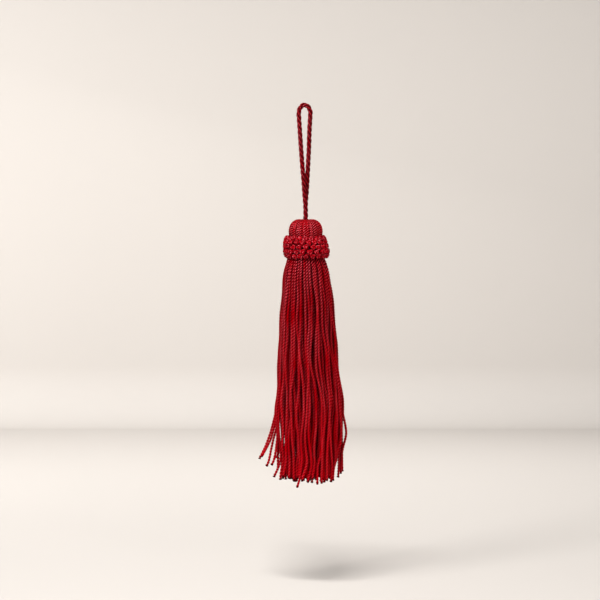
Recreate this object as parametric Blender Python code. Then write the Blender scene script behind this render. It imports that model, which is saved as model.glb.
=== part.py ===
"""Red silk tassel: a twisted hanging loop, a yarn head with its skirt of strands, a knotted collar.

Metres, +Z up. The origin is at the underside of the loop's top arc, where a hook or nail bears,
and the tassel hangs below it. X runs across the loop and Y through it. Tables are in millimetres,
with heights measured down from the origin.
"""
import math
import random
from collections import namedtuple

import bmesh
import bpy
from mathutils import Vector
from mathutils.geometry import delaunay_2d_cdt

MM = 0.001

# --- Driving dimensions, in millimetres ---------------------------------------------------------
CLEARANCE = 0.3                 # left between two pieces
HEAD_AXIS_X = 0.42              # the head hangs this far beside the loop's top

CORD_DIAMETER = 1.95            # the loop's rope, over its three plies
CORD_LAY = 6.6                  # length of one full turn of a ply
CORD_PLIES = 3
CORD_VALLEY = 0.66              # groove between plies, as a share of the rope's radius
CORD_STEPS_PER_LAY = 8
ARC_WIDTH = 2.24                # half width of the loop's top arc, on the rope's centreline
ARC_STEPS = 12
LEGS_TOUCH = 1.03               # half the spacing of the legs where they lie together

SOCKET_FLOOR = -45.9            # bottom of the hole in the head that takes the rope's two ends

STRAND_RADIUS = 0.42            # from a strand's middle to its corners, at the root
STRAND_RADIUS_FREE = 0.50       # the same where the strand hangs free
STRAND_CORNERS = 3
STRAND_RINGS = 7                # rings of strands, from the middle out
STRANDS_IN_FIRST_RING = 3
STRANDS_MORE_PER_RING = 7
OUTER_RING_ROOT = 6.5           # radius of the outermost ring of strands where they leave the neck
FIRST_RING_SHARE = 0.48         # the innermost ring's radius, as a share of the step between rings
SWAY = 0.55                     # most that a strand strays sideways from its even place
SWAY_WAVES = 2.2                # waves along a strand
TIP_MIDDLE = -143.7             # height of the cut ends under the middle
TIP_RISE_LEFT = 1.2             # the ends are cut this much higher at the left edge
TIP_RISE_RIGHT = 2.4            # and at the right edge
TIP_UNEVEN = 0.9                # ends differ by up to this, up or down

COLLAR_KNOTS = 20               # knots in one row of the collar
COLLAR_ROWS = 5
COLLAR_RELIEF = 0.8             # height of a knot over the hollows round it
COLLAR_COLUMNS_PER_KNOT = 4
COLLAR_LEAN = 0.35              # a knot's slant: columns of shift for each row of height
KNOT_WIDTH = 0.60               # half width of a knot, in knot spacings
KNOT_HEIGHT = 0.66              # half height of a knot, in row spacings

SEED = 11

# --- Tables: one row for each section, top row first --------------------------------------------
# Legs of the loop: half their spacing, the pair's turn about the vertical, the pair's sideways lean.
LoopRow = namedtuple("LoopRow", "height spread turn lean")
LOOP_ROWS = (
    LoopRow(-2.3, ARC_WIDTH, 0.0, 0.00),
    LoopRow(-5.4, 2.05, 0.0, 0.00),
    LoopRow(-8.4, 1.86, 0.0, 0.02),
    LoopRow(-12.2, 1.68, 0.0, 0.08),
    LoopRow(-16.1, 1.48, 0.0, 0.16),
    LoopRow(-20.6, 1.18, 0.0, 0.21),
    LoopRow(-22.8, 1.05, 6.0, 0.24),
    LoopRow(-25.0, LEGS_TOUCH, 28.0, 0.28),
    LoopRow(-27.7, LEGS_TOUCH, 47.0, 0.33),
    LoopRow(-31.5, LEGS_TOUCH, 62.0, 0.35),
    LoopRow(-34.6, LEGS_TOUCH, 78.0, 0.34),
    LoopRow(-37.6, LEGS_TOUCH, 89.0, 0.38),
    LoopRow(-41.0, LEGS_TOUCH, 90.0, HEAD_AXIS_X),
    LoopRow(SOCKET_FLOOR + CLEARANCE, LEGS_TOUCH, 90.0, HEAD_AXIS_X),
)

# Head and neck: half widths across X and through Y, and the depth of the grooves between yarns.
HeadRow = namedtuple("HeadRow", "height across deep groove")
HEAD_ROWS = (
    HeadRow(SOCKET_FLOOR, 1.30, 2.34, 0.00),
    HeadRow(-43.6, 1.30, 2.34, 0.00),
    HeadRow(-43.0, 1.60, 2.55, 0.10),
    HeadRow(-42.6, 3.00, 3.20, 0.25),
    HeadRow(-43.0, 4.10, 4.10, 0.32),
    HeadRow(-43.9, 5.25, 5.25, 0.35),
    HeadRow(-45.2, 6.15, 6.15, 0.35),
    HeadRow(-47.2, 6.54, 6.54, 0.35),
    HeadRow(-48.8, 6.35, 6.35, 0.35),
    HeadRow(-50.2, 6.12, 6.12, 0.30),
    HeadRow(-53.0, 6.12, 6.12, 0.30),
    HeadRow(-55.6, 6.95, 6.95, 0.30),
)
NECK_BOTTOM = HEAD_ROWS[-1].height

# Skirt: radius over the strands, and the sideways drift of its middle from the head's axis.
SkirtRow = namedtuple("SkirtRow", "height radius drift")
SKIRT_ROWS = (
    SkirtRow(NECK_BOTTOM, 6.97, 0.00),
    SkirtRow(-57.7, 7.30, 0.10),
    SkirtRow(-60.0, 8.05, 0.25),
    SkirtRow(-63.0, 8.95, 0.28),
    SkirtRow(-66.5, 9.50, 0.30),
    SkirtRow(-72.3, 10.10, 0.55),
    SkirtRow(-80.0, 10.80, 0.60),
    SkirtRow(-93.8, 11.78, 0.80),
    SkirtRow(-106.1, 12.55, 1.25),
    SkirtRow(-118.4, 13.40, 1.45),
    SkirtRow(-131.1, 13.30, 1.30),
    SkirtRow(-144.0, 12.60, 1.50),
)
# Heights at which a strand has a section. The last stretch ends at its own cut end.
STRAND_LEVELS = (-57.4, -60.8, -67.0, -80.0, -97.0, -113.0, -128.0)

# Strands of the outer ring that part from the skirt: where in the ring (degrees from +X, seen from
# above), the height where they leave it, the shift of their tip along X and the tip's height.
StrayRow = namedtuple("StrayRow", "angle leaves shift tip")
STRAY_ROWS = (
    StrayRow(176.0, -116.0, -5.2, -134.8),
    StrayRow(184.0, -117.0, -4.2, -134.2),
    StrayRow(192.0, -121.0, -2.9, -137.8),
    StrayRow(200.0, -125.0, -1.9, -137.2),
    StrayRow(216.0, -133.0, -2.2, -141.9),
    StrayRow(256.0, -134.0, -1.6, -145.7),
)

# Collar: radius over the knots on its outer face, which leans a little to one side as it goes down,
# with the knots fading out at the two rims.
CollarRow = namedtuple("CollarRow", "height radius relief drift")
COLLAR_OUTER_ROWS = (
    CollarRow(-49.25, 7.00, 0.0, -0.10),
    CollarRow(-49.5, 7.65, 0.6, -0.15),
    CollarRow(-50.6, 8.30, 1.0, -0.15),
    CollarRow(-52.3, 8.70, 1.0, -0.04),
    CollarRow(-55.3, 9.05, 1.0, 0.32),
    CollarRow(-56.5, 8.68, 0.9, 0.36),
    CollarRow(-57.3, 8.15, 0.3, 0.25),
    CollarRow(-57.5, 7.90, 0.0, 0.10),
)
COLLAR_OUTER_LEVELS = 17
COLLAR_INNER_ROWS = (
    CollarRow(-57.1, 7.62, 0.0, 0.0),
    CollarRow(-55.4, 7.25, 0.0, 0.0),
    CollarRow(-53.0, 6.46, 0.0, 0.0),
    CollarRow(-49.75, 6.60, 0.0, 0.0),
)

Finish = namedtuple("Finish", "name red green blue roughness sheen")
LOOP_FINISH = Finish("twisted_silk_cord", 0.27, 0.006, 0.010, 0.50, 0.5)
YARN_FINISH = Finish("twisted_silk_yarn", 0.33, 0.006, 0.010, 0.45, 0.6)
COLLAR_FINISH = Finish("knotted_silk_cord", 0.36, 0.008, 0.013, 0.45, 0.6)

Strand = namedtuple("Strand", "ring radius angle phase sway tip stray")


# --- Helpers ------------------------------------------------------------------------------------
def clear_objects():
    """Remove what the open file holds."""
    for item in list(bpy.data.objects):
        bpy.data.objects.remove(item, do_unlink=True)


def smooth_value(rows, column, height):
    """One column of a table at any height, on a smooth curve through its rows."""
    heights = [row.height for row in rows]
    values = [getattr(row, column) for row in rows]
    if height >= heights[0]:
        return values[0]
    if height <= heights[-1]:
        return values[-1]
    below = next(i for i, level in enumerate(heights) if level <= height)
    above = below - 1

    def slope(i):
        first = max(i - 1, 0)
        last = min(i + 1, len(rows) - 1)
        return (values[last] - values[first]) / (heights[last] - heights[first])

    span = heights[below] - heights[above]
    t = (height - heights[above]) / span
    rise = slope(above) * span
    fall = slope(below) * span
    return ((2 * t ** 3 - 3 * t ** 2 + 1) * values[above] + (t ** 3 - 2 * t ** 2 + t) * rise
            + (3 * t ** 2 - 2 * t ** 3) * values[below] + (t ** 3 - t ** 2) * fall)


def make_material(finish):
    material = bpy.data.materials.new(finish.name)
    material.use_nodes = True
    surface = material.node_tree.nodes["Principled BSDF"]
    surface.inputs["Base Color"].default_value = (finish.red, finish.green, finish.blue, 1.0)
    surface.inputs["Roughness"].default_value = finish.roughness
    surface.inputs["Metallic"].default_value = 0.0
    surface.inputs["Sheen Weight"].default_value = finish.sheen
    return material


def finish_object(name, shape, finish, sharp_degrees):
    """Turn a bmesh in millimetres into a named object in metres."""
    bmesh.ops.scale(shape, vec=(MM, MM, MM), verts=shape.verts)
    bmesh.ops.recalc_face_normals(shape, faces=shape.faces)
    mesh = bpy.data.meshes.new(name)
    shape.to_mesh(mesh)
    shape.free()
    mesh.shade_smooth()
    mesh.set_sharp_from_angle(angle=math.radians(sharp_degrees))
    mesh.materials.append(make_material(finish))
    piece = bpy.data.objects.new(name, mesh)
    bpy.context.scene.collection.objects.link(piece)
    return piece


def add_ring(shape, points):
    return [shape.verts.new(point) for point in points]


def join_rings(shape, first, second):
    """A closed band of four-sided faces between two rings of as many points."""
    for i, start in enumerate(first):
        after = (i + 1) % len(first)
        shape.faces.new((start, first[after], second[after], second[i]))


def close_with_fan(shape, ring, middle):
    """Triangles from a ring to one point in its middle."""
    centre = shape.verts.new(middle)
    for i, start in enumerate(ring):
        shape.faces.new((start, ring[(i + 1) % len(ring)], centre))


# --- Hanging loop -------------------------------------------------------------------------------
def leg_point(side, height):
    """The rope's centreline on one leg of the loop: side is -1 at the left and 1 at the right."""
    spread = smooth_value(LOOP_ROWS, "spread", height)
    turn = math.radians(smooth_value(LOOP_ROWS, "turn", height))
    lean = smooth_value(LOOP_ROWS, "lean", height)
    return Vector((lean + side * spread * math.cos(turn), side * spread * math.sin(turn), height))


def loop_centreline():
    """Up the left leg, over the arc and down the right leg, in short even stretches."""
    top = LOOP_ROWS[0].height
    bottom = LOOP_ROWS[-1].height
    arc_height = CORD_DIAMETER / 2 - top
    leg_steps = 48
    levels = [bottom + (top - bottom) * i / leg_steps for i in range(leg_steps + 1)]
    points = [leg_point(-1, level) for level in levels]
    for i in range(1, ARC_STEPS):
        angle = math.pi * (1 - i / ARC_STEPS)
        points.append(Vector((ARC_WIDTH * math.cos(angle), 0, top + arc_height * math.sin(angle))))
    points += [leg_point(1, level) for level in reversed(levels)]
    return points


def even_points(points, count):
    """Points at even distances along a line through many points."""
    lengths = [0.0]
    for before, after in zip(points, points[1:]):
        lengths.append(lengths[-1] + (after - before).length)
    result = []
    stretch = 0
    for i in range(count):
        wanted = lengths[-1] * i / (count - 1)
        while stretch < len(points) - 2 and lengths[stretch + 1] < wanted:
            stretch += 1
        share = (wanted - lengths[stretch]) / (lengths[stretch + 1] - lengths[stretch])
        result.append(points[stretch].lerp(points[stretch + 1], min(share, 1.0)))
    return result, lengths[-1]


def rope_section():
    """Angles and radii of one section of the rope: two points on each ply, one in each groove."""
    radius = CORD_DIAMETER / 2
    ply_angle = 2 * math.pi / CORD_PLIES
    section = []
    for ply in range(CORD_PLIES):
        middle = ply * ply_angle
        section.append((middle - 0.19 * ply_angle, radius))
        section.append((middle + 0.19 * ply_angle, radius))
        section.append((middle + 0.50 * ply_angle, radius * CORD_VALLEY))
    return section


def build_hanging_loop():
    """A rope of three plies laid to the left, folded in half, with both ends in the head."""
    route = loop_centreline()
    length = even_points(route, 2)[1]
    count = round(length / CORD_LAY * CORD_STEPS_PER_LAY) + 1
    points, length = even_points(route, count)
    section = rope_section()
    shape = bmesh.new()
    rings = []
    across = Vector((1, 0, 0))
    for i, point in enumerate(points):
        before = points[max(i - 1, 0)]
        after = points[min(i + 1, count - 1)]
        along = (after - before).normalized()
        across = (across - along * across.dot(along)).normalized()
        through = along.cross(across)
        twist = -2 * math.pi * (length * i / (count - 1)) / CORD_LAY
        ring = []
        for angle, radius in section:
            turned = angle + twist
            ring.append(point + radius * (across * math.cos(turned) + through * math.sin(turned)))
        rings.append(add_ring(shape, ring))
    for first, second in zip(rings, rings[1:]):
        join_rings(shape, first, second)
    close_with_fan(shape, rings[0], points[0])
    close_with_fan(shape, rings[-1], points[-1])
    return finish_object("hanging_loop", shape, LOOP_FINISH, 50)


# --- Head and skirt -----------------------------------------------------------------------------
def ring_strands(ring):
    return STRANDS_IN_FIRST_RING + STRANDS_MORE_PER_RING * ring


def ring_radius(ring):
    step = OUTER_RING_ROOT / (STRAND_RINGS - 1 + FIRST_RING_SHARE)
    return step * (ring + FIRST_RING_SHARE)


def head_columns():
    """Two columns of faces for each yarn of the outer ring: a crown and a groove."""
    return 2 * ring_strands(STRAND_RINGS - 1)


def head_ring(row):
    columns = head_columns()
    points = []
    for i in range(columns):
        angle = 2 * math.pi * i / columns
        groove = row.groove if i % 2 else 0.0
        points.append(((row.across - groove) * math.cos(angle) + HEAD_AXIS_X,
                       (row.deep - groove) * math.sin(angle), row.height))
    return points


def nearest_stray(ring, angle, spacing):
    """The stray row whose place in the outer ring is this strand's, if there is one."""
    if ring != STRAND_RINGS - 1:
        return None
    for row in STRAY_ROWS:
        if abs(math.degrees(angle) - row.angle) <= math.degrees(spacing) / 2:
            return row
    return None


def plan_strands():
    """Every strand's place at the neck, its sway and where it is cut."""
    chance = random.Random(SEED)
    strands = []
    for ring in range(STRAND_RINGS):
        count = ring_strands(ring)
        radius = ring_radius(ring)
        for i in range(count):
            angle = 2 * math.pi * i / count
            phase = chance.uniform(0, 2 * math.pi)
            sway = SWAY * chance.uniform(0.5, 1.0)
            side = radius / OUTER_RING_ROOT * math.cos(angle)
            rise = TIP_RISE_RIGHT if side > 0 else TIP_RISE_LEFT
            tip = TIP_MIDDLE + rise * side * side + chance.uniform(-TIP_UNEVEN, TIP_UNEVEN)
            stray = nearest_stray(ring, angle, 2 * math.pi / count)
            if stray:
                tip = stray.tip
            strands.append(Strand(ring, radius, angle, phase, sway, tip, stray))
    return strands


def strand_middle(strand, height):
    """A strand's centreline at a height: spread with the skirt, swaying a little, perhaps stray."""
    spread = smooth_value(SKIRT_ROWS, "radius", height) - STRAND_RADIUS_FREE
    radius = strand.radius / OUTER_RING_ROOT * spread
    fallen = (NECK_BOTTOM - height) / (NECK_BOTTOM - TIP_MIDDLE)
    wave = strand.phase + 2 * math.pi * SWAY_WAVES * fallen
    loose = strand.sway * min(1.0, 1.6 * fallen)
    x = HEAD_AXIS_X + smooth_value(SKIRT_ROWS, "drift", height) + radius * math.cos(strand.angle)
    x += loose * (math.cos(wave) - math.cos(strand.phase)) / 2
    y = radius * math.sin(strand.angle) + loose * (math.sin(wave) - math.sin(strand.phase)) / 2
    if strand.stray and height < strand.stray.leaves:
        share = (strand.stray.leaves - height) / (strand.stray.leaves - strand.stray.tip)
        x += strand.stray.shift * share ** 1.4
    return x, y


def strand_section(strand, height):
    """The corners of a strand at a height, one of them pointing away from the skirt's middle."""
    x, y = strand_middle(strand, height)
    free = min(1.0, (NECK_BOTTOM - height) / 10)
    radius = STRAND_RADIUS + (STRAND_RADIUS_FREE - STRAND_RADIUS) * free
    corners = []
    for i in range(STRAND_CORNERS):
        angle = strand.angle + 2 * math.pi * i / STRAND_CORNERS
        corners.append((x + radius * math.cos(angle), y + radius * math.sin(angle), height))
    return corners


def fill_neck(shape, rim, roots):
    """The neck's flat underside: the rim's outline with a hole for each strand's root."""
    verts = list(rim)
    faces = [list(range(len(rim)))]
    for root in roots:
        faces.append(list(range(len(verts), len(verts) + len(root))))
        verts += root
    flat = [Vector((vert.co.x, vert.co.y)) for vert in verts]
    result = delaunay_2d_cdt(flat, [], faces, 1, 1e-6)
    corner_sources = result[3]
    for corners, sources in zip(result[2], result[5]):
        if sources == [0]:
            shape.faces.new([verts[corner_sources[corner][0]] for corner in corners])


def build_head_and_skirt():
    """One bundle of yarn: a grooved head and neck, and strands that hang apart below the neck."""
    shape = bmesh.new()
    rings = [add_ring(shape, head_ring(row)) for row in HEAD_ROWS]
    for first, second in zip(rings, rings[1:]):
        join_rings(shape, first, second)
    close_with_fan(shape, rings[0], (HEAD_AXIS_X, 0, SOCKET_FLOOR))
    roots = []
    for strand in plan_strands():
        levels = [NECK_BOTTOM] + list(STRAND_LEVELS) + [strand.tip]
        sections = [add_ring(shape, strand_section(strand, level)) for level in levels]
        for first, second in zip(sections, sections[1:]):
            join_rings(shape, first, second)
        shape.faces.new(sections[-1])
        roots.append(sections[0])
    fill_neck(shape, rings[-1], roots)
    return finish_object("head_and_skirt", shape, YARN_FINISH, 50)


# --- Knotted collar -----------------------------------------------------------------------------
def knot_height(column, row):
    """How far the staggered knots stand out at a place counted in knot spacings and rows, 0 to 1."""
    highest = 0.0
    for knot_row in range(COLLAR_ROWS):
        down = (row - knot_row - 0.5) / KNOT_HEIGHT
        if abs(down) >= 1:
            continue
        offset = column - 0.5 * (knot_row % 2) + COLLAR_LEAN * (row - knot_row - 0.5)
        sideways = (offset - round(offset)) / KNOT_WIDTH
        highest = max(highest, 1 - sideways ** 2 - down ** 2)
    return math.sqrt(highest)


def collar_ring(section, row):
    columns = COLLAR_KNOTS * COLLAR_COLUMNS_PER_KNOT
    middle = HEAD_AXIS_X + section.drift
    points = []
    for i in range(columns):
        angle = 2 * math.pi * i / columns
        knot = knot_height(i / COLLAR_COLUMNS_PER_KNOT, row)
        reach = section.radius - COLLAR_RELIEF * section.relief * (1 - knot)
        points.append((reach * math.cos(angle) + middle, reach * math.sin(angle), section.height))
    return points


def build_knotted_collar():
    """A turned ring round the neck with rows of staggered knots on its outer face."""
    shape = bmesh.new()
    top = COLLAR_OUTER_ROWS[0].height
    bottom = COLLAR_OUTER_ROWS[-1].height
    rings = []
    for i in range(COLLAR_OUTER_LEVELS):
        share = i / (COLLAR_OUTER_LEVELS - 1)
        height = top + (bottom - top) * share
        values = (smooth_value(COLLAR_OUTER_ROWS, column, height) for column in CollarRow._fields[1:])
        rings.append(add_ring(shape, collar_ring(CollarRow(height, *values), COLLAR_ROWS * share)))
    for row in COLLAR_INNER_ROWS:
        rings.append(add_ring(shape, collar_ring(row, 0)))
    for i, ring in enumerate(rings):
        join_rings(shape, ring, rings[(i + 1) % len(rings)])
    return finish_object("knotted_collar", shape, COLLAR_FINISH, 60)


def main():
    clear_objects()
    build_hanging_loop()
    build_head_and_skirt()
    build_knotted_collar()


main()
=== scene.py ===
"""Looks of a red silk tassel: its twisted loop, yarn head, knotted collar and skirt of strands.

Everything is in the row frame: the origin is under the loop's top arc, +Z is up and the viewer
stands at -Y. Sizes are in millimetres until a mesh is made.
"""
import math
import random
from collections import namedtuple

import bpy
import numpy as np
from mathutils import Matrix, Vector


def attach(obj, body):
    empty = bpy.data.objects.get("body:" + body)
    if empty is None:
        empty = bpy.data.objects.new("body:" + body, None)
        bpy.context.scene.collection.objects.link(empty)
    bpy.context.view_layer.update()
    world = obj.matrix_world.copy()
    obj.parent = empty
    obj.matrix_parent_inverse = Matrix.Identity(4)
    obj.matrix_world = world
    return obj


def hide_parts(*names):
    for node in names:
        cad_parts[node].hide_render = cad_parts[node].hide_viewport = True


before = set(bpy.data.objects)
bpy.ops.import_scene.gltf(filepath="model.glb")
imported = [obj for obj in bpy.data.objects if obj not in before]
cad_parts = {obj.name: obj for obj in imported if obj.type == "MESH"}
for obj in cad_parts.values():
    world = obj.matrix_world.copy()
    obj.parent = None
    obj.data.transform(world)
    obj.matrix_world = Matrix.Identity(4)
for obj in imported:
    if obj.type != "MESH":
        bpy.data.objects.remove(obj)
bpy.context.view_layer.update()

MM = 0.001

# --- Sizes, in millimetres ----------------------------------------------------------------------
HEAD_AXIS_X = 0.42              # the head hangs this far beside the loop's top

CORD_DIAMETER = 1.95            # the loop's rope, over its three plies
CORD_LAY = 6.6                  # length of one full turn of a ply
CORD_PLIES = 3
PLY_TONES = (0.35, 0.6, 0.5)    # how bright each ply is dyed, 0 to 1
ARC_WIDTH = 2.24                # half width of the loop's top arc, on the rope's centreline
LEGS_TOUCH = 1.03               # half the spacing of the legs where they lie together
SOCKET_FLOOR = -45.9            # bottom of the hole in the head that takes the rope's two ends
CLEARANCE = 0.3                 # left between two pieces
LEG_POINTS = 80                 # places worked out along each leg for the rope's mesh
ARC_STEPS = 24                  # and over the arc
PATH_LEG_POINTS = 13            # the same for a coarser path along the rope
PATH_ARC_STEPS = 14

STRAND_RADIUS = 0.52            # a strand's middle line runs this far inside the skirt's outline
STRAND_RINGS = 7                # rings of strands, from the middle out
STRANDS_IN_FIRST_RING = 3
STRANDS_MORE_PER_RING = 7
OUTER_RING_ROOT = 6.5           # radius of the outermost ring of strands where they leave the neck
FIRST_RING_SHARE = 0.48         # the innermost ring's radius, as a share of the step between rings
SEEN_RINGS = 3                  # so many rings, from the outside in, show and get a finer mesh
SWAY = 0.55                     # most that a strand strays sideways from its even place
SWAY_WAVES = 2.2                # waves along a strand
TIP_MIDDLE = -143.7             # height of the cut ends under the middle
TIP_RISE_LEFT = 1.2             # the ends are cut this much higher at the left edge
TIP_RISE_RIGHT = 2.4            # and at the right edge
TIP_UNEVEN = 1.3                # ends differ by up to this, up or down
INNER_TIP_RISE = 1.2            # strands inside the skirt end this much higher
GATHER_TOP = -129.0             # below here the strands at the right gather,
GATHER_FALL = 8.0               # over this height,
GATHER_RIGHT = 10.8             # to the left of here, apart from the loose ones
SLIT_MIDDLE = -128.5            # round here those at the left part from the loose ones,
SLIT_REACH = 9.5                # up to this far above and below,
SLIT_EDGE = -8.6                # and keep to the right of here
SEED = 11

HEAD_YARNS = 50
HEAD_UNEVEN = 0.4               # most that one strays from its even place, as a share of the step
DIMPLE_EDGE = (3.3, 4.9)        # every other yarn sinks from the second radius in to the first,
BURIED_DOWN = 0.55              # by this much down
BURIED_IN = 0.15                # and this much inward, as there is no room for all in the dimple
HEAD_SQUEEZE = ((1.5, 3.0, 5.5), (0.62, 0.80, 1.0))  # at these radii yarns are pressed this thin

COLLAR_KNOTS = 20               # knots in one row of the collar
KNOT_ROWS = (-50.0, -51.4, -53.1, -54.9, -56.55)  # heights of the collar's rows of knots
KNOT_CORD_RADIUS = 0.46
KNOT_REACH = 0.26               # size of a knot's loops,
KNOT_BREADTH = 1.08             # stretched by this much sideways
KNOT_HEIGHT = 0.95              # and this much upwards
KNOT_DEPTH = 0.40               # how far its cord passes over and under itself
KNOT_SUNK = 0.78                # a knot's middle lies this far inside the collar's outer face
KNOT_SPIN = 20.0                # degrees that a knot leans to one side
KNOT_POINTS = 56                # places worked out along a knot's cord
BAND_TURNS = 8                  # turns of the cord that the knots are worked on
BAND_STEPS_PER_TURN = 131
BAND_TOP = -49.9
BAND_FALL = 7.0
BAND_SUNK = 2.05                # its middle lies this far inside the collar's outer face

# --- Tables: one row for each section, top row first --------------------------------------------
LoopRow = namedtuple("LoopRow", "height spread turn lean")
LOOP_ROWS = (
    LoopRow(-2.3, ARC_WIDTH, 0.0, 0.00),
    LoopRow(-5.4, 2.05, 0.0, 0.00),
    LoopRow(-8.4, 1.86, 0.0, 0.02),
    LoopRow(-12.2, 1.68, 0.0, 0.08),
    LoopRow(-16.1, 1.48, 0.0, 0.16),
    LoopRow(-20.6, 1.18, 0.0, 0.21),
    LoopRow(-22.8, 1.05, 6.0, 0.24),
    LoopRow(-25.0, LEGS_TOUCH, 28.0, 0.28),
    LoopRow(-27.7, LEGS_TOUCH, 47.0, 0.33),
    LoopRow(-31.5, LEGS_TOUCH, 62.0, 0.35),
    LoopRow(-34.6, LEGS_TOUCH, 78.0, 0.34),
    LoopRow(-37.6, LEGS_TOUCH, 89.0, 0.38),
    LoopRow(-41.0, LEGS_TOUCH, 90.0, HEAD_AXIS_X),
    LoopRow(SOCKET_FLOOR + CLEARANCE, LEGS_TOUCH, 90.0, HEAD_AXIS_X),
)

NECK_BOTTOM = -55.6             # the strands part from each other here,
STRAND_TOP = NECK_BOTTOM + 1.2  # and their meshes start here, inside the collar
COLLAR_BOTTOM = -57.3
SkirtRow = namedtuple("SkirtRow", "height radius drift")
SKIRT_ROWS = (
    SkirtRow(NECK_BOTTOM, 6.97, 0.00),
    SkirtRow(-57.7, 7.30, 0.10),
    SkirtRow(-60.0, 8.05, 0.25),
    SkirtRow(-63.0, 8.95, 0.28),
    SkirtRow(-66.5, 9.50, 0.30),
    SkirtRow(-72.3, 10.10, 0.55),
    SkirtRow(-80.0, 10.80, 0.60),
    SkirtRow(-93.8, 11.78, 0.80),
    SkirtRow(-106.1, 12.55, 1.25),
    SkirtRow(-118.4, 13.40, 1.45),
    SkirtRow(-131.1, 13.30, 1.30),
    SkirtRow(-144.0, 12.60, 1.50),
)

# Where the loose strands of the outermost ring hang: how far to the right of the loop's top they
# are at some heights, the last one their cut end. The first number is the strand's place in the
# ring, counted from the right-hand side and round the back.
LooseRow = namedtuple("LooseRow", "height place")
LOOSE = {
    0: (LooseRow(-118.0, 14.85), LooseRow(-121.1, 15.5), LooseRow(-123.9, 16.0),
        LooseRow(-125.8, 16.05), LooseRow(-128.1, 15.6), LooseRow(-130.3, 15.0),
        LooseRow(-133.2, 14.4), LooseRow(-141.0, 13.95)),
    1: (LooseRow(-133.9, 14.5), LooseRow(-140.4, 14.6)),
    2: (LooseRow(-133.9, 14.3), LooseRow(-139.9, 14.4)),
    3: (LooseRow(-132.0, 13.9), LooseRow(-140.5, 14.0)),
    20: (LooseRow(-131.9, -9.9), LooseRow(-134.8, -10.6), LooseRow(-135.5, -11.9)),
    21: (LooseRow(-122.0, -10.7), LooseRow(-128.4, -10.45), LooseRow(-139.3, -10.3)),
    22: (LooseRow(-118.0, -11.3), LooseRow(-121.9, -12.25), LooseRow(-125.0, -13.1),
         LooseRow(-127.7, -14.05), LooseRow(-131.0, -15.3), LooseRow(-135.4, -17.5)),
    23: (LooseRow(-120.1, -11.1), LooseRow(-124.0, -12.1), LooseRow(-127.9, -13.25),
         LooseRow(-130.8, -14.6), LooseRow(-134.5, -16.6)),
    24: (LooseRow(-123.0, -10.9), LooseRow(-126.9, -11.9), LooseRow(-130.8, -12.75),
         LooseRow(-136.0, -13.85), LooseRow(-137.9, -14.7)),
    25: (LooseRow(-126.7, -10.5), LooseRow(-133.2, -11.35), LooseRow(-135.4, -11.9),
         LooseRow(-137.2, -12.7)),
    26: (LooseRow(-134.0, -9.2), LooseRow(-137.0, -9.8), LooseRow(-139.0, -10.6),
         LooseRow(-141.6, -11.8)),
    27: (LooseRow(-135.3, -8.05), LooseRow(-139.2, -9.0), LooseRow(-142.6, -9.35)),
    28: (LooseRow(-141.1, -8.2),),
    29: (LooseRow(-141.7, -6.0),),
    30: (LooseRow(-136.0, -4.2), LooseRow(-142.4, -4.1)),
    31: (LooseRow(-134.9, -1.9), LooseRow(-138.3, -2.15), LooseRow(-141.1, -2.8)),
    32: (LooseRow(-134.8, -1.0), LooseRow(-139.0, -1.65), LooseRow(-141.7, -2.0),
         LooseRow(-144.8, -2.9)),
    33: (LooseRow(-142.1, -0.8),),
    34: (LooseRow(-142.9, 1.2),),
    35: (LooseRow(-141.8, 3.0),),
    36: (LooseRow(-138.0, 4.9), LooseRow(-143.7, 4.85)),
    37: (LooseRow(-143.4, 6.5),),
    38: (LooseRow(-142.4, 8.5),),
    39: (LooseRow(-143.2, 10.1),),
    40: (LooseRow(-142.7, 10.9),),
    43: (LooseRow(-130.5, 12.85), LooseRow(-133.2, 12.5), LooseRow(-135.6, 12.1),
         LooseRow(-137.7, 11.35)),
    44: (LooseRow(-135.4, 13.2), LooseRow(-139.3, 13.1), LooseRow(-142.2, 12.9)),
}
LOOSENING = 8.0                 # a loose strand leaves its even place over this height

# A head yarn's middle line, from inside the dimple over the dome to the neck.
HeadRow = namedtuple("HeadRow", "out height")
HEAD_LINE = (
    HeadRow(1.35, -44.9),
    HeadRow(1.75, -43.75),
    HeadRow(2.75, -43.12),
    HeadRow(3.80, -43.38),
    HeadRow(4.85, -44.10),
    HeadRow(5.60, -45.20),
    HeadRow(6.02, -46.60),
    HeadRow(6.08, -47.60),
    HeadRow(5.92, -49.00),
    HeadRow(5.72, -50.60),
    HeadRow(5.72, -53.00),
    HeadRow(6.20, -55.40),
)

CollarRow = namedtuple("CollarRow", "height radius drift")
COLLAR_ROWS_OUT = (
    CollarRow(-49.25, 7.00, -0.10),
    CollarRow(-49.5, 7.65, -0.15),
    CollarRow(-50.6, 8.30, -0.15),
    CollarRow(-52.3, 8.70, -0.04),
    CollarRow(-55.3, 9.05, 0.32),
    CollarRow(-56.5, 8.68, 0.36),
    CollarRow(-57.3, 8.15, 0.25),
    CollarRow(-57.5, 7.90, 0.10),
)

# Yarns and cords: over-all radius, plies, groove radius as a share, length of one turn of a ply,
# sections in each turn, and corners on each ply. Real silk yarn is laid finer than this, with half
# this length of turn or less: the twist is drawn coarser so that it still shows from a step away.
Twist = namedtuple("Twist", "radius plies groove lay sections corners")
STRAND_TWIST = Twist(0.54, 2, 0.50, 2.3, 7, 3)
INNER_TWIST = Twist(0.54, 2, 0.55, 2.3, 5, 3)
HEAD_TWIST = Twist(0.50, 2, 0.45, 1.65, 8, 4)
PLY_TWIST = Twist(0.46, 3, 0.88, 2.4, 10, 3)
KNOT_TWIST = Twist(KNOT_CORD_RADIUS, 2, 0.80, 2.0, 9, 4)
BAND_TWIST = Twist(0.52, 2, 0.50, 2.2, 8, 3)

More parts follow.
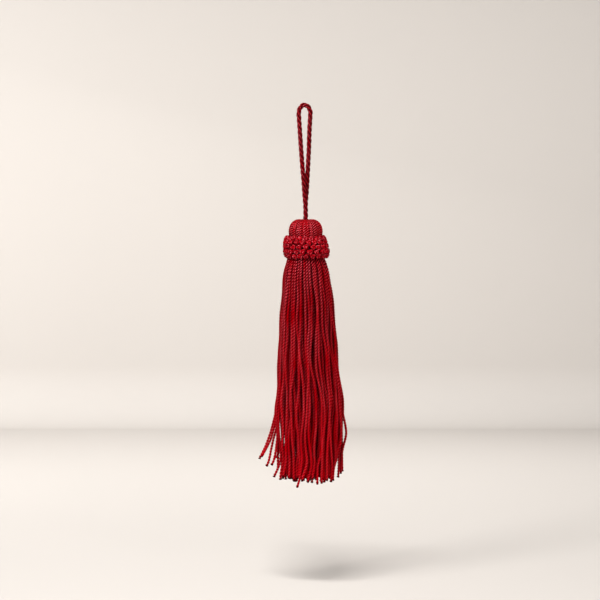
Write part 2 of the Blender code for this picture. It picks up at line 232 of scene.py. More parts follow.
TONES_APART = 50.0              # keeps one yarn's patterns from repeating on the next
TURNS_APART = 40.0              # and one yarn's crests from lining up with the next one's
LAY_UNEVEN = 0.28               # yarns differ by this share in how tightly they are twisted

# How far a strand drifts sideways, over which length of wave.
Drift = namedtuple("Drift", "reach wave")
DRIFTS = (Drift(0.50, 60.0), Drift(0.28, 31.0), Drift(0.13, 17.0))
DEPTH_DRIFT = Drift(0.22, 19.0)  # and the same out and in
BUNCHES = (2, 3, 2, 2, 3, 1, 2)  # strands hang in bunches of so many,
HUDDLE = 0.21                   # by this share closer together than even,
STAND_OUT = (-0.45, 0.30)       # and a bunch stands out by this much, least and most,
STAND_UNEVEN = 0.12             # its strands by this much more or less
STAND_FALL = 10.0               # which comes over this height below the neck,
HUDDLE_FALL = 6.0               # as the huddle does over this,
HUDDLE_LOST = 0.4               # of which this share is lost again where strands hang loose
LOOSENS_BY = 2.5                # their drift is full at 1 / 2.5 of the way down,
SWAYS_BY = 1.6                  # their sway at 1 / 1.6,
MOST_VEER = 2.5                 # and they veer by up to this many degrees on the way

# Yarns in one mesh: their middle lines (yarns x points x 3), their twist, a tone for each yarn, the
# side that their sections start from, shares of width and of light (painted shade) at each point,
# how far the painted shade in the hollows between plies is lifted, for a ply of a rope the rope's
# own middle line and radius, and for yarns that lie side by side the way that each one's open side
# faces.
Yarns = namedtuple("Yarns", "lines twist tone side width lit hollow core core_radius outward",
                   defaults=(1.0, 1.0, 0.0, None, 1.0, None))

TIP_WIDTHS = (1.04, 1.10, 1.02)  # a cut end flares a little
TIP_LIT = (0.8, 0.45, 0.15, 0.05)  # and it gets painted shade, darker towards the end
ROOT_LIT = 0.2                  # strands lie in the collar's shade where they come out of it,
ROOT_SHADE = 1.8                # over this height
INNER_LIT = (0.45, 1.0)         # those under the outermost ring lie in its shade, at root and tip,
FLANK_LIT = (0.15, 0.85)        # and a strand's flanks in its neighbours' shade, the same way
SEAM_LIT = (0.60, 0.92)         # a rope's plies get painted shade up to the first share of its radius, and full light from the second
                                # lit from the second
LOW_HOLLOW = 0.7                # yarn loosens towards the tips: the painted shade in its grooves is lifted, and its crests' lustre dimmed, up to this share
ROPE_HOLLOW = 0.2               # share by which the painted shade in a ply's grooves is lifted, and its crest's lustre dimmed, in the loop
KNOT_HOLLOW = 0.75              # and in the knots, whose fine cord is drawn up tight
BAND_LIT = 0.15                 # the cord under the knots is in their shade,
BAND_SHADE_TONE = 0.3                 # and its tone is set low, for more painted shade

Strand = namedtuple("Strand", "ring radius angle phase sway tip loose huddle stand")


# --- Helpers ------------------------------------------------------------------------------------
def linear_colour(code):
    """An sRGB hex colour as linear RGBA."""
    channels = [int(code[i:i + 2], 16) / 255 for i in (1, 3, 5)]
    linear = [c / 12.92 if c <= 0.04045 else ((c + 0.055) / 1.055) ** 2.4 for c in channels]
    return (*linear, 1.0)


def smooth_value(rows, column, height):
    """One column of a table at any heights, on a smooth curve through its rows."""
    if len(rows) == 1:
        return np.full(np.shape(height), getattr(rows[0], column))
    depth = -np.array([row.height for row in rows])
    value = np.array([getattr(row, column) for row in rows])
    slope = np.gradient(value)
    slope[1:-1] = (value[2:] - value[:-2]) / (depth[2:] - depth[:-2])
    slope[0] = (value[1] - value[0]) / (depth[1] - depth[0])
    slope[-1] = (value[-1] - value[-2]) / (depth[-1] - depth[-2])
    wanted = np.clip(-np.asarray(height, float), depth[0], depth[-1])
    i = np.clip(np.searchsorted(depth, wanted) - 1, 0, len(depth) - 2)
    span = depth[i + 1] - depth[i]
    t = (wanted - depth[i]) / span
    return ((2 * t ** 3 - 3 * t ** 2 + 1) * value[i] + (t ** 3 - 2 * t ** 2 + t) * slope[i] * span
            + (3 * t ** 2 - 2 * t ** 3) * value[i + 1] + (t ** 3 - t ** 2) * slope[i + 1] * span)


def smooth_line(points, count):
    """Points at even distances on a smooth curve through a few points."""
    points = np.asarray(points, float)
    along = np.concatenate([[0], np.cumsum(np.linalg.norm(np.diff(points, axis=0), axis=1))])
    Row = namedtuple("Row", "height x y z")
    rows = [Row(-s, *p) for s, p in zip(along, points)]
    dense = np.linspace(0, along[-1], 12 * len(points))
    curve = np.stack([smooth_value(rows, axis, -dense) for axis in "xyz"], axis=1)
    return even_line(curve, count)


def even_line(points, count):
    """Points at even distances along a line through many points."""
    along = np.concatenate([[0], np.cumsum(np.linalg.norm(np.diff(points, axis=0), axis=1))])
    wanted = np.linspace(0, along[-1], count)
    return np.stack([np.interp(wanted, along, points[:, axis]) for axis in range(3)], axis=1)


def line_length(points):
    return float(np.linalg.norm(np.diff(points, axis=0), axis=1).sum())


def carried_frames(lines, start_side):
    """Direction, side and third axis at each point of some lines, carried along without twist."""
    along = np.gradient(lines, axis=1)
    along /= np.linalg.norm(along, axis=2, keepdims=True)
    side = np.empty_like(along)
    held = np.broadcast_to(np.asarray(start_side, float), along[:, 0].shape)
    for i in range(lines.shape[1]):
        held = held - along[:, i] * (along[:, i] * held).sum(axis=1, keepdims=True)
        held = held / np.linalg.norm(held, axis=1, keepdims=True)
        side[:, i] = held
    return along, side, np.cross(along, side)


# Corners of a ply, at shares of its width from its crest. The last lies in the groove beside it.
Corner = namedtuple("Corner", "share sunk")
PLY_CORNERS = {
    3: (Corner(-0.17, False), Corner(0.17, False), Corner(0.5, True)),
    4: (Corner(-0.24, False), Corner(0.0, False), Corner(0.24, False), Corner(0.5, True)),
}


def yarn_section(twist):
    """Angle, radius and place across its ply of each corner of a yarn's section, and which corners
    lie in a groove."""
    ply = 2 * math.pi / twist.plies
    angles, radii, crests, sunk = [], [], [], []
    for i in range(twist.plies):
        for corner in PLY_CORNERS[twist.corners]:
            angles.append((i + corner.share) * ply)
            radii.append(twist.radius * (twist.groove if corner.sunk else 1.0))
            sunk.append(corner.sunk)
            across = 2 * math.pi * corner.share
            crests.append((math.cos(across), math.sin(across), 0.0))
    return np.array(angles), np.array(radii), np.array(crests), np.array(sunk)


def yarn_light(group, ring, reach):
    """The share of the light that each point of some yarns is left, for the shade they lie in."""
    yarns, points, _ = reach.shape
    lit = np.broadcast_to(group.lit, (yarns, points))[:, :, None]
    if group.core is not None:
        out = np.linalg.norm(ring - group.core[:, :, None, :], axis=3) / group.core_radius
        lit = lit * np.interp(out, SEAM_LIT, (0, 1))
    if group.outward is not None:
        facing = ((ring - group.lines[:, :, None, :]) * group.outward[:, None, None, :]).sum(axis=3)
        flank = np.linspace(*FLANK_LIT, points)[None, :, None]
        lit = lit * (flank + (1 - flank) * np.clip(facing / reach, 0, 1))
    return np.broadcast_to(lit, reach.shape)


def yarn_mesh(name, groups):
    """One mesh of many twisted yarns, from groups of yarns that share a twist."""
    verts, quads, fans, sharp, fibre, grain, crest = [], [], [], [], [], [], []
    shades = {"tone": [], "lit": [], "hollow": []}
    first = 0
    for group in groups:
        lines, twist, tone = group.lines, group.twist, group.tone
        yarns, points, _ = lines.shape
        along, side, third = carried_frames(lines, group.side)
        angles, radii, crests, sunk = yarn_section(twist)
        corners = len(angles)
        steps = np.linalg.norm(np.diff(lines, axis=1), axis=2)
        travelled = np.concatenate([np.zeros((yarns, 1)), np.cumsum(steps, axis=1)], axis=1)
        pace = 2 * math.pi / (twist.lay * (1 + LAY_UNEVEN * (tone - 0.5)))
        turn = travelled * pace[:, None] + tone[:, None] * TURNS_APART
        angle = angles[None, None, :] + turn[:, :, None]
        width = np.broadcast_to(group.width, (yarns, points))
        reach = radii[None, None, :] * width[:, :, None]
        ring = (side[:, :, None, :] * (np.cos(angle) * reach)[..., None]
                + third[:, :, None, :] * (np.sin(angle) * reach)[..., None]
                + lines[:, :, None, :])
        # Faces along the yarns, and a fan over each end.
        body = first + np.arange(yarns * points * corners).reshape(yarns, points, corners)
        after = np.roll(body, -1, axis=2)
        quads.append(np.stack([body[:, :-1], after[:, :-1], after[:, 1:], body[:, 1:]], axis=-1)
                     .reshape(-1, 4))
        start = first + body.size + np.arange(yarns)
        end = start + yarns
        fans.append(np.stack([np.broadcast_to(start[:, None], (yarns, corners)),
                              after[:, 0], body[:, 0]], axis=-1).reshape(-1, 3))
        fans.append(np.stack([np.broadcast_to(end[:, None], (yarns, corners)),
                              body[:, -1], after[:, -1]], axis=-1).reshape(-1, 3))
        groove = body[:, :, sunk]
        sharp.append(np.stack([groove[:, :-1], groove[:, 1:]], axis=-1).reshape(-1, 2))
        verts += [ring.reshape(-1, 3), lines[:, 0], lines[:, -1]]
        shades["tone"] += [np.repeat(tone, points * corners), tone, tone]
        shades["lit"] += [yarn_light(group, ring, reach).reshape(-1), np.zeros(2 * yarns)]
        hollow = np.broadcast_to(group.hollow, (yarns, points))
        shades["hollow"] += [np.repeat(hollow.reshape(-1), corners), np.zeros(2 * yarns)]
        # Where each point lies in the silk's pattern: round its yarn, along it, and which yarn.
        round_share = (angle / (2 * math.pi)).reshape(-1)
        length = np.broadcast_to(travelled[:, :, None], angle.shape).reshape(-1)
        apart = TONES_APART * tone
        fibre += [np.stack([round_share, length, np.repeat(apart, points * corners)], axis=1),
                  np.stack([0 * tone, 0 * tone, apart], axis=1),
                  np.stack([0 * tone, travelled[:, -1], apart], axis=1)]
        grain += [np.repeat(along.reshape(-1, 3), corners, axis=0), along[:, 0], along[:, -1]]
        crest += [np.tile(crests, (yarns * points, 1)), np.tile((-1.0, 0.0, 0.0), (2 * yarns, 1))]
        first += body.size + 2 * yarns
    return mesh_piece(name, np.concatenate(verts), quads, fans, np.concatenate(sharp),
                      {shade: np.concatenate(values) for shade, values in shades.items()},
                      {"fibre": np.concatenate(fibre), "grain": np.concatenate(grain),
                       "crest": np.concatenate(crest)})


def mesh_piece(name, verts, quads, fans, sharp, shades, vectors):
    """A mesh object, in metres, with a number or a vector of each kind at its points."""
    quads = np.concatenate(quads)
    fans = np.concatenate(fans)
    corners = np.concatenate([quads.reshape(-1), fans.reshape(-1)])
    sizes = np.concatenate([np.full(len(quads), 4), np.full(len(fans), 3)])
    mesh = bpy.data.meshes.new(name)
    mesh.vertices.add(len(verts))
    mesh.vertices.foreach_set("co", (verts * MM).astype(np.float32).ravel())
    mesh.loops.add(len(corners))
    mesh.loops.foreach_set("vertex_index", corners.astype(np.int32))
    mesh.polygons.add(len(sizes))
    starts = np.concatenate([[0], np.cumsum(sizes)[:-1]])
    mesh.polygons.foreach_set("loop_start", starts.astype(np.int32))
    mesh.update(calc_edges=True)
    mesh.shade_smooth()
    mark_sharp(mesh, sharp, len(verts))
    for shade, values in shades.items():
        mesh.attributes.new(shade, "FLOAT", "POINT").data.foreach_set(
            "value", values.astype(np.float32))
    for vector, values in vectors.items():
        mesh.attributes.new(vector, "FLOAT_VECTOR", "POINT").data.foreach_set(
            "vector", values.astype(np.float32).ravel())
    mesh.validate()
    piece = bpy.data.objects.new(name, mesh)
    bpy.context.scene.collection.objects.link(piece)
    return piece


def mark_sharp(mesh, pairs, count):
    """Mark the edges between these pairs of points as sharp, so that grooves stay crisp."""
    ends = np.empty(2 * len(mesh.edges), np.int32)
    mesh.edges.foreach_get("vertices", ends)
    ends = np.sort(ends.reshape(-1, 2), axis=1).astype(np.int64)
    wanted = np.sort(pairs, axis=1).astype(np.int64)
    sharp = np.isin(ends[:, 0] * count + ends[:, 1], wanted[:, 0] * count + wanted[:, 1])
    mesh.attributes.new("sharp_edge", "BOOLEAN", "EDGE").data.foreach_set("value", sharp)


def settle(piece, node, material):
    """Let a piece stand for its CAD node, with its material."""
    piece.data.materials.append(material)
    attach(piece, "root")
    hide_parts(node)


# --- Materials ----------------------------------------------------------------------------------
def add_node(tree, kind, inputs=(), **settings):
    """Add a node with its settings. An input is given a value, or another node's output."""
    node = tree.nodes.new(kind)
    for name, value in settings.items():
        setattr(node, name, value)
    for name, value in dict(inputs).items():
        if isinstance(value, bpy.types.NodeSocket):
            tree.links.new(value, node.inputs[name])
        else:
            node.inputs[name].default_value = value
    return node


# Silks: the dye on the brightest and dullest filaments, the painted shade in the grooves, the
# share of painted highlight by which a crest pales where it shines, how much it shines between the
# runs of its lustre, how narrow the shine is, and the index of refraction that sets its strength:
# packed filaments throw back far more than one smooth surface of silk would.
Silk = namedtuple("Silk", "name light deep groove paled even narrow ior")
STRAND_SILK = Silk("twisted_silk_yarn", "#c0010c", "#8a010a", "#200002", 0.28, 0.0, 8.0, 3.3)
HEAD_SILK = Silk("folded_silk_yarn", "#b8010d", "#7e0109", "#180001", 0.22, 0.06, 8.0, 2.8)
KNOT_SILK = Silk("knotted_silk_cord", "#9c010d", "#6e0109", "#0c0001", 0.70, 0.4, 7.0, 8.0)
LOOP_SILK = Silk("laid_silk_cord", "#a0010a", "#6e0107", "#0c0001", 0.22, 0.05, 6.0, 3.3)
PAINTED_HIGHLIGHT_COLOUR = "#ff8c9a"        # painted highlight: the pale colour that a shining crest is painted towards
LUSTRE_TINT = "#ff8496"         # its highlight is tinted by the dye
ROUGHNESS = 0.28                # smooth filaments: a soft, long highlight
FILAMENT_WIDTH = 0.10           # millimetres: bundles of filaments, as one is far too fine to show
FILAMENT_RUN = 0.35             # streaks for each millimetre along the yarn
FILAMENT_HEIGHT = 0.06
FILAMENT_BUMP = 0.25
DYE_PATCHES = 90.0              # uneven dye: patches in each metre, right through the tassel
GLINT_LENGTH = 16.0             # millimetres of yarn from one run of its lustre to the next
GLINT_NONE = 0.35               # the noise values between which the lustre rises
GLINT_FULL = 0.65


def make_silk(look):
    """Reeled silk, twisted and piece dyed: smooth filaments that run along the yarn give it a soft
    lustre, brightest on a ply's crest where it faces the light. The crests also get a painted
    highlight, a paler colour, and the grooves and shaded parts get painted shade, deep red."""
    material = bpy.data.materials.new(look.name)
    material.use_nodes = True
    tree = material.node_tree
    tree.nodes.clear()
    tone = add_node(tree, "ShaderNodeAttribute", attribute_name="tone")
    lit = add_node(tree, "ShaderNodeAttribute", attribute_name="lit")
    hollow = add_node(tree, "ShaderNodeAttribute", attribute_name="hollow")
    fibre = add_node(tree, "ShaderNodeAttribute", attribute_name="fibre")
    grain = add_node(tree, "ShaderNodeAttribute", attribute_name="grain")
    crest = add_node(tree, "ShaderNodeAttribute", attribute_name="crest")
    # The dye: streaked along the filaments, uneven through the tassel and from yarn to yarn.
    stretched = add_node(tree, "ShaderNodeMapping", {
        "Vector": fibre.outputs["Vector"],
        "Scale": (2 * math.pi * STRAND_RADIUS / FILAMENT_WIDTH, FILAMENT_RUN, 1.0)})
    filaments = add_node(tree, "ShaderNodeTexNoise", {
        "Vector": stretched.outputs["Vector"], "Scale": 1.0, "Detail": 2.0, "Roughness": 0.6})
    patches = add_node(tree, "ShaderNodeTexCoord")
    dye = add_node(tree, "ShaderNodeTexNoise", {
        "Vector": patches.outputs["Object"], "Scale": DYE_PATCHES, "Detail": 2.0})
    blend = add_node(tree, "ShaderNodeMath", {
        0: tone.outputs["Fac"], 1: dye.outputs["Fac"]}, operation="ADD")
    streaked = add_node(tree, "ShaderNodeMath", {
        0: filaments.outputs["Fac"], 1: 2.0, 2: blend.outputs["Value"]}, operation="MULTIPLY_ADD")
    share = add_node(tree, "ShaderNodeMapRange", {
        "Value": streaked.outputs["Value"], "From Min": 1.0, "From Max": 3.0})
    dyed = add_node(tree, "ShaderNodeMix", {
        "Factor": share.outputs["Result"], "A": linear_colour(look.deep),
        "B": linear_colour(look.light)}, data_type="RGBA")
    # Painted shade: from the dark groove between two plies up to a ply's crest, darker still where
    # the lit share is low.
    turned = add_node(tree, "ShaderNodeVectorMath", {
        0: crest.outputs["Vector"]}, operation="NORMALIZE")
    faced = add_node(tree, "ShaderNodeSeparateXYZ", {"Vector": turned.outputs["Vector"]})
    height = add_node(tree, "ShaderNodeMapRange", {"Value": faced.outputs["X"], "From Min": -1.0})
    opened = add_node(tree, "ShaderNodeMapRange", {
        "Value": height.outputs["Result"], "To Min": hollow.outputs["Fac"]})
    raised = add_node(tree, "ShaderNodeMath", {
        0: opened.outputs["Result"], 1: lit.outputs["Fac"]}, operation="MULTIPLY")
    body = add_node(tree, "ShaderNodeMix", {
        "Factor": raised.outputs["Value"], "A": linear_colour(look.groove),
        "B": dyed.outputs[2]}, data_type="RGBA")
    # The lustre: along the crests alone, coming and going along each yarn. It sets the real
    # highlight and also a painted highlight that pales the crest's colour.
    spread = add_node(tree, "ShaderNodeMapping", {
        "Vector": fibre.outputs["Vector"], "Scale": (0.0, 1 / GLINT_LENGTH, 1.0)})
    uneven = add_node(tree, "ShaderNodeTexNoise", {
        "Vector": spread.outputs["Vector"], "Scale": 1.0, "Detail": 1.0})
    glint = add_node(tree, "ShaderNodeMapRange", {
        "Value": uneven.outputs["Fac"], "From Min": GLINT_NONE, "From Max": GLINT_FULL,
        "To Min": look.even})
    narrow = add_node(tree, "ShaderNodeMath", {
        0: height.outputs["Result"], 1: look.narrow}, operation="POWER")
    proud = add_node(tree, "ShaderNodeMapRange", {
        "Value": hollow.outputs["Fac"], "To Min": lit.outputs["Fac"], "To Max": 0.0})
    ridge = add_node(tree, "ShaderNodeMath", {
        0: narrow.outputs["Value"], 1: proud.outputs["Result"]}, operation="MULTIPLY")
    gloss = add_node(tree, "ShaderNodeMath", {
        0: ridge.outputs["Value"], 1: glint.outputs["Result"]}, operation="MULTIPLY")
    # painted highlight: the crest's colour is paled where it shines
    paled = add_node(tree, "ShaderNodeMath", {
        0: gloss.outputs["Value"], 1: look.paled}, operation="MULTIPLY")
    colour = add_node(tree, "ShaderNodeMix", {
        "Factor": paled.outputs["Value"], "A": body.outputs[2],
        "B": linear_colour(PAINTED_HIGHLIGHT_COLOUR)}, data_type="RGBA")
    bump = add_node(tree, "ShaderNodeBump", {
        "Height": filaments.outputs["Fac"], "Strength": FILAMENT_BUMP,
        "Distance": FILAMENT_HEIGHT * MM})
    surface = add_node(tree, "ShaderNodeBsdfPrincipled", {
        "Base Color": colour.outputs[2], "Roughness": ROUGHNESS, "IOR": look.ior,
        "Specular IOR Level": gloss.outputs["Value"], "Specular Tint": linear_colour(LUSTRE_TINT),
        "Anisotropic": 0.3, "Anisotropic Rotation": 0.25, "Tangent": grain.outputs["Vector"],
        "Normal": bump.outputs["Normal"]})
    add_node(tree, "ShaderNodeOutputMaterial", {"Surface": surface.outputs["BSDF"]})
    return material


def make_plain(name, code, roughness):
    """Plain matt paint: one even tone without a highlight, so that the eye stays on the silk."""
    material = bpy.data.materials.new(name)
    material.use_nodes = True
    surface = material.node_tree.nodes["Principled BSDF"]
    surface.inputs["Base Color"].default_value = linear_colour(code)
    surface.inputs["Roughness"].default_value = roughness
    return material


# --- Camera -------------------------------------------------------------------------------------
CAMERA_DISTANCE = 900.0         # from the middle of the view
CAMERA_PITCH = 4.0              # degrees that it looks down
VIEW_MIDDLE = (-1.75, -73.8)    # X and Z at the middle of the view
LENS = 140.4
SENSOR = 36.0


def place_camera():
    pitch = math.radians(CAMERA_PITCH)
    lens = bpy.data.cameras.new("camera")
    lens.lens = LENS
    lens.sensor_width = SENSOR
    lens.clip_start = 0.01
    camera = bpy.data.objects.new("camera", lens)
    camera.location = (VIEW_MIDDLE[0] * MM, -CAMERA_DISTANCE * math.cos(pitch) * MM,
                       (VIEW_MIDDLE[1] + CAMERA_DISTANCE * math.sin(pitch)) * MM)
    camera.rotation_euler = (math.pi / 2 - pitch, 0, 0)
    bpy.context.scene.collection.objects.link(camera)
    bpy.context.scene.camera = camera


# --- Hanging loop -------------------------------------------------------------------------------
def loop_route(leg_points, arc_steps):
    """The rope's centreline: up the left leg, over the arc and down the right leg."""
    top = LOOP_ROWS[0].height
    levels = np.linspace(LOOP_ROWS[-1].height, top, leg_points)
    turn = np.radians(smooth_value(LOOP_ROWS, "turn", levels))
    spread = smooth_value(LOOP_ROWS, "spread", levels)
    lean = smooth_value(LOOP_ROWS, "lean", levels)
    left = np.stack([lean - spread * np.cos(turn), -spread * np.sin(turn), levels], axis=1)
    right = np.stack([lean + spread * np.cos(turn), spread * np.sin(turn), levels], axis=1)
    angle = np.pi * (1 - np.arange(1, arc_steps) / arc_steps)
    arc_height = CORD_DIAMETER / 2 - top
    arc = np.stack([ARC_WIDTH * np.cos(angle), 0 * angle, top + arc_height * np.sin(angle)], axis=1)
    return np.concatenate([left, arc, right[::-1]])


def build_loop():
    route = loop_route(LEG_POINTS, ARC_STEPS)
    length = line_length(route)
    count = round(length / PLY_TWIST.lay * PLY_TWIST.sections)
    centre = even_line(route, count)
    _, side, third = carried_frames(centre[None], (1, 0, 0))
    travelled = np.linspace(0, length, count)
    offset = CORD_DIAMETER / 2 - PLY_TWIST.radius
    plies = []
    for i in range(CORD_PLIES):
        angle = 2 * math.pi * (i / CORD_PLIES - travelled / CORD_LAY)
        plies.append(centre + offset * (side[0] * np.cos(angle)[:, None]
                                        + third[0] * np.sin(angle)[:, None]))
    core = np.broadcast_to(centre, (CORD_PLIES, count, 3))
    rope = Yarns(np.array(plies), PLY_TWIST, np.array(PLY_TONES), (1, 0, 0),
                 hollow=ROPE_HOLLOW, core=core, core_radius=CORD_DIAMETER / 2)
    loop = yarn_mesh("hanging_loop_rope", [rope])
    settle(loop, "hanging_loop", make_silk(LOOP_SILK))
    path = [tuple(point * MM) for point in loop_route(PATH_LEG_POINTS, PATH_ARC_STEPS)]


# --- Skirt --------------------------------------------------------------------------------------
def ring_strands(ring):
    return STRANDS_IN_FIRST_RING + STRANDS_MORE_PER_RING * ring


def ring_radius(ring):
    step = OUTER_RING_ROOT / (STRAND_RINGS - 1 + FIRST_RING_SHARE)
    return step * (ring + FIRST_RING_SHARE)


def bunch_strands(count, chance):
    """For each strand of a ring, its shift towards its bunch's middle and how far the bunch stands
    out, in strand spacings and millimetres."""
    bunched = []
    while len(bunched) < count:
        size = min(chance.choice(BUNCHES), count - len(bunched))
        stand = chance.uniform(*STAND_OUT)
        for i in range(size):
            bunched.append((HUDDLE * ((size - 1) / 2 - i),
                            stand + chance.uniform(-STAND_UNEVEN, STAND_UNEVEN)))
    return bunched


def plan_strands():
    """Every strand's place at the neck, its sway, its bunch and where it is cut."""
    chance = random.Random(SEED)
    strands = []
    for ring in range(STRAND_RINGS):
        count = ring_strands(ring)
        radius = ring_radius(ring)
        bunched = bunch_strands(count, random.Random(SEED + 10 + ring))
        for i in range(count):
            angle = 2 * math.pi * i / count
            phase = chance.uniform(0, 2 * math.pi)
            sway = SWAY * chance.uniform(0.5, 1.0)
            side = radius / OUTER_RING_ROOT * math.cos(angle)
            rise = TIP_RISE_RIGHT if side > 0 else TIP_RISE_LEFT
            tip = TIP_MIDDLE + rise * side * side + chance.uniform(-TIP_UNEVEN, TIP_UNEVEN)
            loose = LOOSE.get(i) if ring == STRAND_RINGS - 1 else None
            if loose:
                tip = loose[-1].height
            elif ring < STRAND_RINGS - 1:
                tip += INNER_TIP_RISE
            shift, stand = bunched[i]
            strands.append(Strand(ring, radius, angle, phase, sway, tip, loose,
                                  2 * math.pi * shift / count, stand))
    return strands


def drift_wave(drift, heights, start):
    return drift.reach * np.sin(2 * math.pi * (heights / drift.wave + start))


def strand_line(strand, count, chance):
    """A strand's middle line from inside the collar to its cut end."""
    heights = np.linspace(STRAND_TOP, strand.tip, count)
    below = NECK_BOTTOM - heights
    fallen = np.clip(below / (NECK_BOTTOM - TIP_MIDDLE), 0, None)
    spread = smooth_value(SKIRT_ROWS, "radius", heights) - STRAND_RADIUS
    radius = strand.radius / OUTER_RING_ROOT * spread
    loosened = np.minimum(1.0, LOOSENS_BY * fallen)
    huddled = np.clip(below / HUDDLE_FALL, 0, 1) * (1 - HUDDLE_LOST * loosened)
    veer = math.radians(chance.uniform(-MOST_VEER, MOST_VEER))
    angle = strand.angle + fallen * veer + strand.huddle * huddled
    wave = strand.phase + 2 * math.pi * SWAY_WAVES * fallen
    sway = strand.sway * np.minimum(1.0, SWAYS_BY * fallen)
    x = HEAD_AXIS_X + smooth_value(SKIRT_ROWS, "drift", heights) + radius * np.cos(angle)
    x += sway * (np.cos(wave) - math.cos(strand.phase)) / 2
    y = radius * np.sin(angle) + sway * (np.sin(wave) - math.sin(strand.phase)) / 2
    right, back = math.cos(strand.angle), math.sin(strand.angle)
    around = sum(drift_wave(drift, heights, chance.random()) for drift in DRIFTS) * loosened
    out = strand.stand * np.clip(below / STAND_FALL, 0, 1)
    out += loosened * drift_wave(DEPTH_DRIFT, heights, chance.random())
    x += right * out - back * around
    y += back * out + right * around
    if strand.loose:
        freed = np.clip((strand.loose[0].height + LOOSENING - heights) / LOOSENING, 0, 1)
        freed = freed * freed * (3 - 2 * freed)
        x += freed * (smooth_value(strand.loose, "place", heights) - x)
    else:
        gathered = np.clip((GATHER_TOP - heights) / GATHER_FALL, 0, 1)
        x -= gathered * np.clip(x - GATHER_RIGHT, 0, None)
        parted = np.clip(1 - ((heights - SLIT_MIDDLE) / SLIT_REACH) ** 2, 0, 1)
        x += parted * np.clip(SLIT_EDGE - x, 0, None)
    return even_line(np.stack([x, y, heights], axis=1), count)


def skirt_light(count, covered):
    """The light along a ring's strands: dim in the collar, under other strands and at the tips."""
    emerged = (COLLAR_BOTTOM - np.linspace(STRAND_TOP, TIP_MIDDLE, count)) / ROOT_SHADE
    lit = ROOT_LIT + (1 - ROOT_LIT) * np.clip(emerged, 0, 1)
    if covered:
        lit *= np.linspace(*INNER_LIT, count)
    lit[-len(TIP_LIT):] *= TIP_LIT
    return lit


def build_skirt():
    silk = make_silk(STRAND_SILK)
    chance = random.Random(SEED + 1)
    strands = plan_strands()
    length = NECK_BOTTOM - TIP_MIDDLE
    for ring in range(STRAND_RINGS):
        twist = STRAND_TWIST if ring >= STRAND_RINGS - SEEN_RINGS else INNER_TWIST
        count = round(length / twist.lay * twist.sections)
        members = [strand for strand in strands if strand.ring == ring]
        lines = np.array([strand_line(strand, count, chance) for strand in members])
        tone = np.array([chance.random() for _ in members])
        outward = np.array([(math.cos(strand.angle), math.sin(strand.angle), 0)
                            for strand in members])
        width = np.ones(count)
        width[-len(TIP_WIDTHS):] = TIP_WIDTHS
        lit = skirt_light(count, ring < STRAND_RINGS - 1)
        hollow = np.linspace(0, LOW_HOLLOW, count)
        piece = yarn_mesh(f"skirt_strands_ring_{ring + 1}", [
            Yarns(lines, twist, tone, (1, 0, 0), width, lit, hollow, outward=outward)])
        settle(piece, "head_and_skirt", silk)


# --- Head ---------------------------------------------------------------------------------------
def build_head():
    chance = random.Random(SEED + 2)
    profile = [(row.out, 0, row.height) for row in HEAD_LINE]
    length = line_length(np.array(profile))
    count = round(length / HEAD_TWIST.lay * HEAD_TWIST.sections)
    line = smooth_line(profile, count)
    groups = []
    for i in range(HEAD_YARNS):
        angle = 2 * math.pi * (i + HEAD_UNEVEN * chance.uniform(-1, 1)) / HEAD_YARNS
        out = line[:, 0].copy()
        height = line[:, 2].copy()
        if i % 2:
            buried = np.interp(out, DIMPLE_EDGE, (1, 0)) * (np.arange(count) < count / 2)
            height -= BURIED_DOWN * buried
            out -= BURIED_IN * buried
        points = np.stack([HEAD_AXIS_X + out * math.cos(angle), out * math.sin(angle), height],
                          axis=1)
        across = (-math.sin(angle), math.cos(angle), 0)
        width = np.interp(out, *HEAD_SQUEEZE)
        groups.append(Yarns(points[None], HEAD_TWIST, np.array([chance.random()]), across, width))
    head = yarn_mesh("head_yarns", groups)
    settle(head, "head_and_skirt", make_silk(HEAD_SILK))


# --- Knotted collar -----------------------------------------------------------------------------
def collar_place(angle, height, inward):
    """A point under the collar's outer face, with its right, up and outward directions."""
    radius = float(smooth_value(COLLAR_ROWS_OUT, "radius", height)) - inward
    drift = float(smooth_value(COLLAR_ROWS_OUT, "drift", height))
    low, high = smooth_value(COLLAR_ROWS_OUT, "radius", np.array([height - 0.5, height + 0.5]))
    out = np.array([math.cos(angle), math.sin(angle), 0])
    right = np.array([-math.sin(angle), math.cos(angle), 0])
    up = out * (high - low) + np.array([0, 0, 1.0])
    up /= np.linalg.norm(up)
    outward = np.cross(right, up)
    place = np.array([HEAD_AXIS_X + drift, 0, height]) + radius * out
    return place, right, up, outward


def build_knots():
    """Each knot is one trefoil of cord, which crosses itself three times."""
    chance = random.Random(SEED + 3)
    t = np.linspace(1.5 * math.pi, 3.5 * math.pi, KNOT_POINTS)
    across = np.sin(t) + 2 * np.sin(2 * t)
    over = np.cos(t) - 2 * np.cos(2 * t)
    depth = -np.sin(3 * t)
    lines, tones, sides = [], [], []
    for row, height in enumerate(KNOT_ROWS):
        for i in range(COLLAR_KNOTS):
            share = (i + 0.5 * (row % 2) + chance.uniform(-0.08, 0.08)) / COLLAR_KNOTS
            level = height + chance.uniform(-0.16, 0.16)
            place, right, up, outward = collar_place(2 * math.pi * share, level, KNOT_SUNK)
            size = KNOT_REACH * chance.uniform(0.93, 1.08)
            spin = math.radians(chance.uniform(-25, 25) + KNOT_SPIN)
            a = across * math.cos(spin) - over * math.sin(spin)
            b = across * math.sin(spin) + over * math.cos(spin)
            lines.append(place + np.outer(a * size * KNOT_BREADTH, right)
                         + np.outer(b * size * KNOT_HEIGHT, up)
                         + np.outer(depth * KNOT_DEPTH, outward))
            tones.append(chance.random())
            sides.append(outward)
    knots = yarn_mesh("collar_knots", [
        Yarns(np.array(lines), KNOT_TWIST, np.array(tones), np.array(sides), hollow=KNOT_HOLLOW)])
    settle(knots, "knotted_collar", make_silk(KNOT_SILK))


